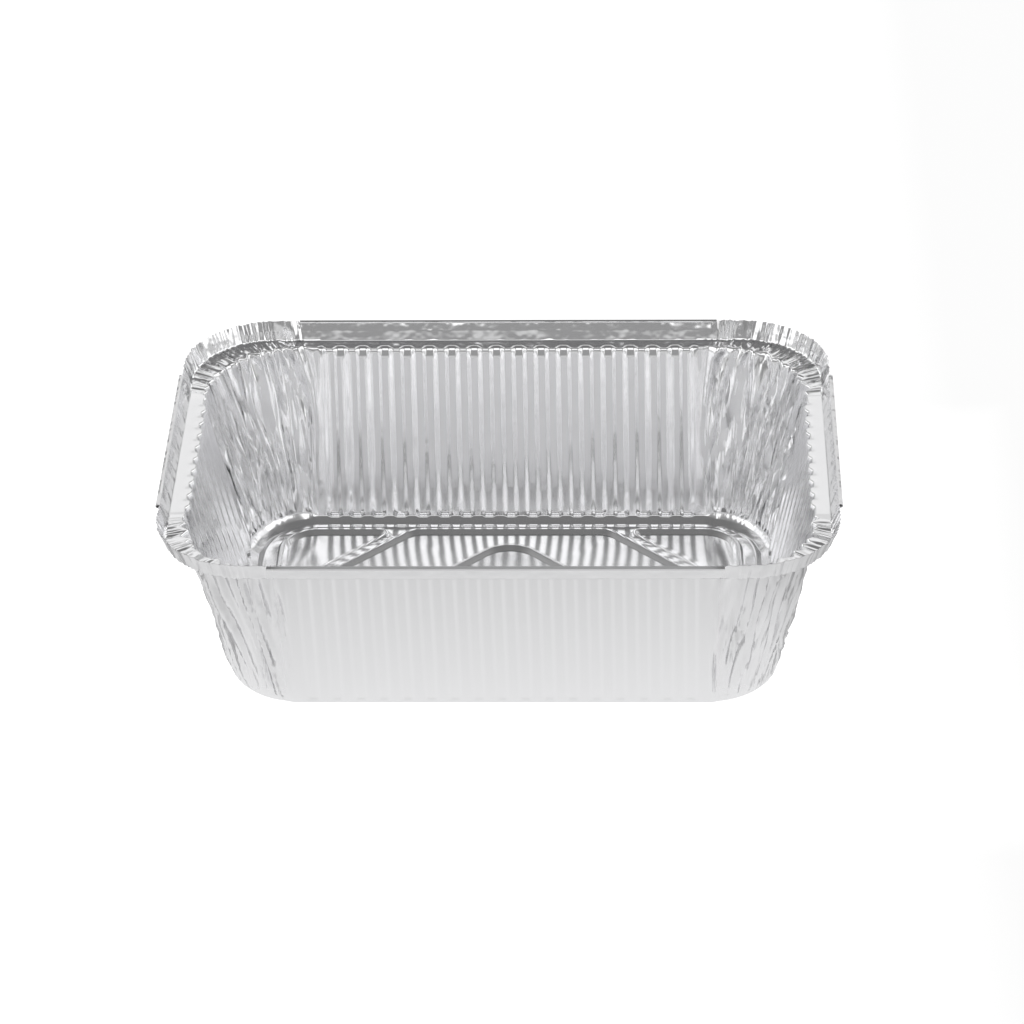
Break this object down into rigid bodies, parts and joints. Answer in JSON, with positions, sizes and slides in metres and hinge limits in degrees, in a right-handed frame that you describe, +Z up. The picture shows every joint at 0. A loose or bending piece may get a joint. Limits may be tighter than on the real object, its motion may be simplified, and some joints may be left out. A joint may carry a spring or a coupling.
{
  "type": "foil food container",
  "caption": "Oblong pressed aluminium-foil food tray with fluted walls, pleated corners, a lid ledge and a flange hemmed on its straight sides.",
  "frame": {"origin": "middle of the underside, on the surface that the tray stands on", "axes": "+X along the long side, +Y along the short side, +Z up out of the open top"},
  "size_m": [0.22, 0.161, 0.0675],
  "materials": {
    "foil": "bright rolled foil"
  },
  "bodies": {
    "root": {"foil_tray": "foil"}
  },
  "joints": []
}
